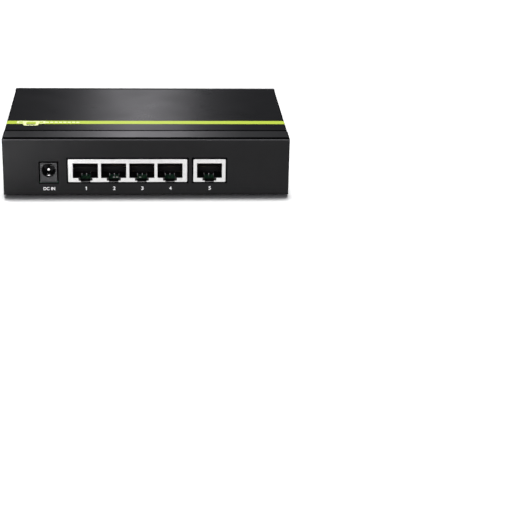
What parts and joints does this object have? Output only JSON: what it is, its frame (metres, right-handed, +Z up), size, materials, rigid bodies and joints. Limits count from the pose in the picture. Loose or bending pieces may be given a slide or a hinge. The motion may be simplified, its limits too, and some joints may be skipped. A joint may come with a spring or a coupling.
{
  "type": "desktop network switch",
  "caption": "Low rectangular desktop network switch: steel case, row of shielded modular jacks and a round power inlet on one long side, LEDs on the other.",
  "frame": {"origin": "centre of the footprint, on the plane that the rubber feet stand on", "axes": "+X along the port panel, to the right when the ports are seen from the front; +Y from the port panel to the LED fascia; +Z up"},
  "size_m": [0.142, 0.0936, 0.031],
  "materials": {
    "chassis_coat": "satin fine-textured black powder coat",
    "cover_coat": "satin fine-textured black powder coat with a printed lime stripe",
    "fascia_plastic": "satin moulded plastic",
    "nickel_shield": "bright nickel plate on thin sheet",
    "jack_plastic": "matte moulded plastic",
    "inlet_plastic": "matte moulded plastic",
    "nickel_contact": "bright nickel plate",
    "gold_contact": "gold flash on phosphor bronze wire",
    "holder_plastic": "matte moulded plastic",
    "power_led_epoxy": "green tinted translucent epoxy",
    "port_led_epoxy": "yellow-green tinted translucent epoxy",
    "cover_screw_zinc": "black zinc",
    "board_screw_zinc": "bright zinc",
    "standoff_zinc": "bright zinc",
    "board_laminate": "green solder mask on glass epoxy",
    "magnetics_plastic": "moulded epoxy",
    "chip_epoxy": "moulded epoxy",
    "heat_sink_aluminium": "extruded",
    "crystal_can": "drawn can",
    "ferrite": "pressed ferrite",
    "capacitor_sleeve": "shrink sleeve",
    "foot_rubber": "matte rubber",
    "label_film": "plain silver-white label film, blank"
  },
  "bodies": {
    "chassis": {"board_screw_1": "board_screw_zinc", "board_screw_2": "board_screw_zinc", "board_screw_3": "board_screw_zinc", "board_screw_4": "board_screw_zinc", "chassis_pan": "chassis_coat", "clock_crystal": "crystal_can", "config_memory": "chip_epoxy", "cover_screw_left_1": "cover_screw_zinc", "cover_screw_left_2": "cover_screw_zinc", "cover_screw_right_1": "cover_screw_zinc", "cover_screw_right_2": "cover_screw_zinc", "dc_jack_housing": "inlet_plastic", "dc_jack_pin": "nickel_contact", "heat_sink": "heat_sink_aluminium", "input_capacitor": "capacitor_sleeve", "led_fascia": "fascia_plastic", "main_board": "board_laminate", "output_capacitor": "capacitor_sleeve", "port_1_led": "port_led_epoxy", "port_1_led_holder": "holder_plastic", "port_1_magnetics": "magnetics_plastic", "port_2_led": "port_led_epoxy", "port_2_led_holder": "holder_plastic", "port_2_magnetics": "magnetics_plastic", "port_3_led": "port_led_epoxy", "port_3_led_holder": "holder_plastic", "port_3_magnetics": "magnetics_plastic", "port_4_led": "port_led_epoxy", "port_4_led_holder": "holder_plastic", "port_4_magnetics": "magnetics_plastic", "port_5_led": "port_led_epoxy", "port_5_led_holder": "holder_plastic", "port_5_magnetics": "magnetics_plastic", "power_inductor": "ferrite", "power_led": "power_led_epoxy", "power_led_holder": "holder_plastic", "quad_jack_housing": "jack_plastic", "quad_jack_shield": "nickel_shield", "rating_label": "label_film", "rubber_foot_1": "foot_rubber", "rubber_foot_2": "foot_rubber", "rubber_foot_3": "foot_rubber", "rubber_foot_4": "foot_rubber", "single_jack_housing": "jack_plastic", "single_jack_shield": "nickel_shield", "standoff_1": "standoff_zinc", "standoff_2": "standoff_zinc", "standoff_3": "standoff_zinc", "standoff_4": "standoff_zinc", "switch_chip": "chip_epoxy", "top_cover": "cover_coat", "voltage_regulator": "chip_epoxy"},
    "port_1_spring": {"port_1_contacts": "gold_contact"},
    "port_2_spring": {"port_2_contacts": "gold_contact"},
    "port_3_spring": {"port_3_contacts": "gold_contact"},
    "port_4_spring": {"port_4_contacts": "gold_contact"},
    "port_5_spring": {"port_5_contacts": "gold_contact"},
    "dc_jack_spring": {"dc_jack_leaf_contact": "nickel_contact"}
  },
  "joints": [
    {"name": "port_1_contact_flex", "type": "hinge", "parent": "chassis", "child": "port_1_spring", "pos_m": [-0.03045, -0.0439, 0.0183], "axis": [1, 0, 0], "range_deg": [0, 11], "stiffness_Nm_per_rad": 0.05},
    {"name": "port_2_contact_flex", "type": "hinge", "parent": "chassis", "child": "port_2_spring", "pos_m": [-0.01648, -0.0439, 0.0183], "axis": [1, 0, 0], "range_deg": [0, 11], "stiffness_Nm_per_rad": 0.05},
    {"name": "port_3_contact_flex", "type": "hinge", "parent": "chassis", "child": "port_3_spring", "pos_m": [-0.00251, -0.0439, 0.0183], "axis": [1, 0, 0], "range_deg": [0, 11], "stiffness_Nm_per_rad": 0.05},
    {"name": "port_4_contact_flex", "type": "hinge", "parent": "chassis", "child": "port_4_spring", "pos_m": [0.01145, -0.0439, 0.0183], "axis": [1, 0, 0], "range_deg": [0, 11], "stiffness_Nm_per_rad": 0.05},
    {"name": "port_5_contact_flex", "type": "hinge", "parent": "chassis", "child": "port_5_spring", "pos_m": [0.0311, -0.0439, 0.0183], "axis": [1, 0, 0], "range_deg": [0, 11], "stiffness_Nm_per_rad": 0.05},
    {"name": "dc_jack_leaf_flex", "type": "hinge", "parent": "chassis", "child": "dc_jack_spring", "pos_m": [-0.04855, -0.0385, 0.0103], "axis": [1, 0, 0], "range_deg": [0, 6], "stiffness_Nm_per_rad": 0.05}
  ]
}
